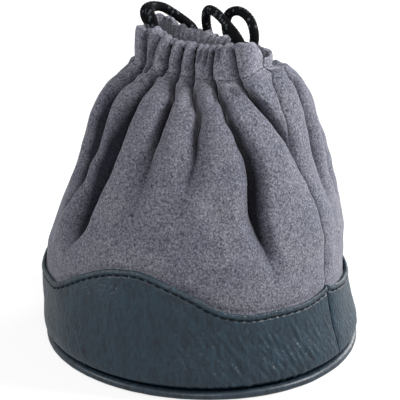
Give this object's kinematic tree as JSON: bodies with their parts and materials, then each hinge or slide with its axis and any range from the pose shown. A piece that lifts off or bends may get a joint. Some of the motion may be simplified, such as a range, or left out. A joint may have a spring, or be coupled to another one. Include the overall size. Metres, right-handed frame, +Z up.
{
  "type": "lens pouch",
  "caption": "Round-bottomed padded drawstring pouch for a camera lens, with a wavy leather-look band round its foot and cords over the rim.",
  "frame": {"origin": "centre of the underside, on the surface that the pouch stands on", "axes": "+Z up towards the mouth, +X to the wearer's right along the line between the two side seams, the front with the band's hump faces -Y"},
  "size_m": [0.12, 0.1201, 0.1318],
  "materials": {
    "suede": "brushed nap, matte",
    "leather": "pebbled, satin",
    "bead": "smooth rolled edge, satin",
    "lining": "short brushed pile",
    "foam": "open-cell foam",
    "board": "matte sheet",
    "core": "twisted filler cord",
    "thread": "twisted sewing thread",
    "cord": "round braid with light flecks"
  },
  "bodies": {
    "pouch": {"bottom_disc": "leather", "piping_cover": "bead", "piping_core": "core", "bottom_board": "board", "bottom_foam": "foam", "bottom_lining": "lining", "wall_foam": "foam", "wall_lining": "lining", "band_front": "leather", "band_back": "leather", "band_thread": "thread", "front_panel": "suede", "back_panel": "suede"},
    "front_rim": {"front_casing": "suede", "front_casing_thread": "thread", "right_cord_front_run": "cord", "left_cord_front_run": "cord"},
    "back_rim": {"back_casing": "suede", "back_casing_thread": "thread", "right_cord_back_run": "cord", "left_cord_back_run": "cord"},
    "right_drawstring": {"right_front_strand": "cord", "right_back_strand": "cord", "right_knot": "cord"},
    "left_drawstring": {"left_front_strand": "cord", "left_back_strand": "cord", "left_knot": "cord"}
  },
  "joints": [
    {"name": "right_drawstring_pull", "type": "slide", "parent": "pouch", "child": "right_drawstring", "axis": [0, 0, 1], "range_m": [0, 0.006]},
    {"name": "left_drawstring_pull", "type": "slide", "parent": "pouch", "child": "left_drawstring", "axis": [0, 0, 1], "range_m": [0, 0.006]},
    {"name": "front_rim_draw", "type": "slide", "parent": "pouch", "child": "front_rim", "axis": [0, 1, 0], "range_m": [0, 0.003]},
    {"name": "back_rim_draw", "type": "slide", "parent": "pouch", "child": "back_rim", "axis": [0, -1, 0], "range_m": [0, 0.003]}
  ],
  "couplings": [
    {"joint": "left_drawstring_pull", "follows": "right_drawstring_pull", "ratio": 1},
    {"joint": "front_rim_draw", "follows": "right_drawstring_pull", "ratio": 0.5},
    {"joint": "back_rim_draw", "follows": "right_drawstring_pull", "ratio": 0.5}
  ]
}
